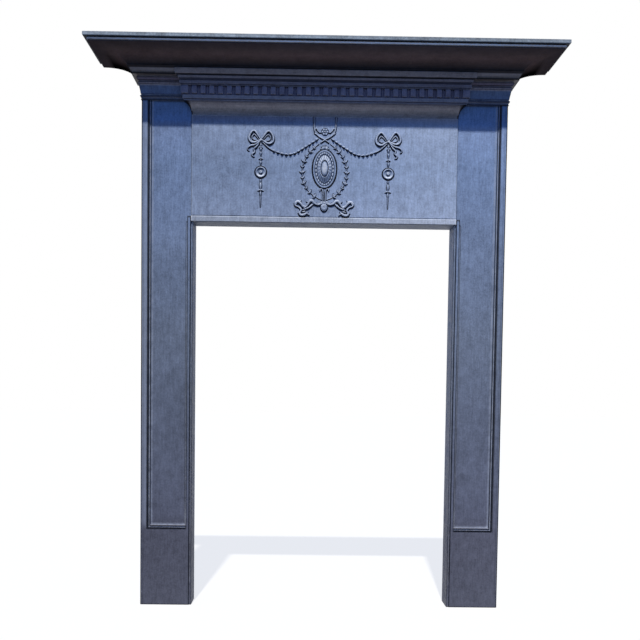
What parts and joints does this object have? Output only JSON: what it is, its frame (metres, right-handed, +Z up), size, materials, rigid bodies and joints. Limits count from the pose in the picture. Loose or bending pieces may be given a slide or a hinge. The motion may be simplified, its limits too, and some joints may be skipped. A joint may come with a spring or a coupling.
{
  "type": "fireplace surround",
  "caption": "Cast iron fire surround with panelled jambs, a frieze with swags and an oval patera, a dentil cornice and a deep coved shelf.",
  "frame": {"origin": "on the hearth, under the middle of the whole surround's box", "axes": "+X along the width to the right as seen from the room, +Y from the room to the wall, +Z up"},
  "size_m": [1.084, 0.178, 1.3055],
  "materials": {
    "jamb_iron": "graphite-polished cast iron, slate blue-grey, fine vertical brush marks, darker mottling low down",
    "frieze_iron": "graphite-polished cast iron with burnished low relief",
    "cornice_iron": "graphite-polished cast iron, darker in its quirks",
    "bed_mould_iron": "blacked cast iron, matt and brownish black",
    "shelf_iron": "blacked cast iron with a rough worn nosing",
    "fastener_steel": "dull blackened steel with light rust"
  },
  "bodies": {
    "root": {"left_jamb": "jamb_iron", "right_jamb": "jamb_iron", "frieze_panel": "frieze_iron", "cornice": "cornice_iron", "bed_mould": "bed_mould_iron", "mantel_shelf": "shelf_iron", "left_lower_frieze_bolt": "fastener_steel", "left_lower_frieze_nut": "fastener_steel", "left_upper_frieze_bolt": "fastener_steel", "left_upper_frieze_nut": "fastener_steel", "right_lower_frieze_bolt": "fastener_steel", "right_lower_frieze_nut": "fastener_steel", "right_upper_frieze_bolt": "fastener_steel", "right_upper_frieze_nut": "fastener_steel", "left_cornice_bolt": "fastener_steel", "left_cornice_nut": "fastener_steel", "middle_cornice_bolt": "fastener_steel", "middle_cornice_nut": "fastener_steel", "right_cornice_bolt": "fastener_steel", "right_cornice_nut": "fastener_steel", "right_outer_shelf_washer": "fastener_steel", "right_outer_shelf_bolt": "fastener_steel", "right_inner_shelf_washer": "fastener_steel", "right_inner_shelf_bolt": "fastener_steel", "right_cornice_shelf_washer": "fastener_steel", "right_cornice_shelf_bolt": "fastener_steel", "left_outer_shelf_washer": "fastener_steel", "left_outer_shelf_bolt": "fastener_steel", "left_inner_shelf_washer": "fastener_steel", "left_inner_shelf_bolt": "fastener_steel", "left_cornice_shelf_washer": "fastener_steel", "left_cornice_shelf_bolt": "fastener_steel"}
  },
  "joints": []
}
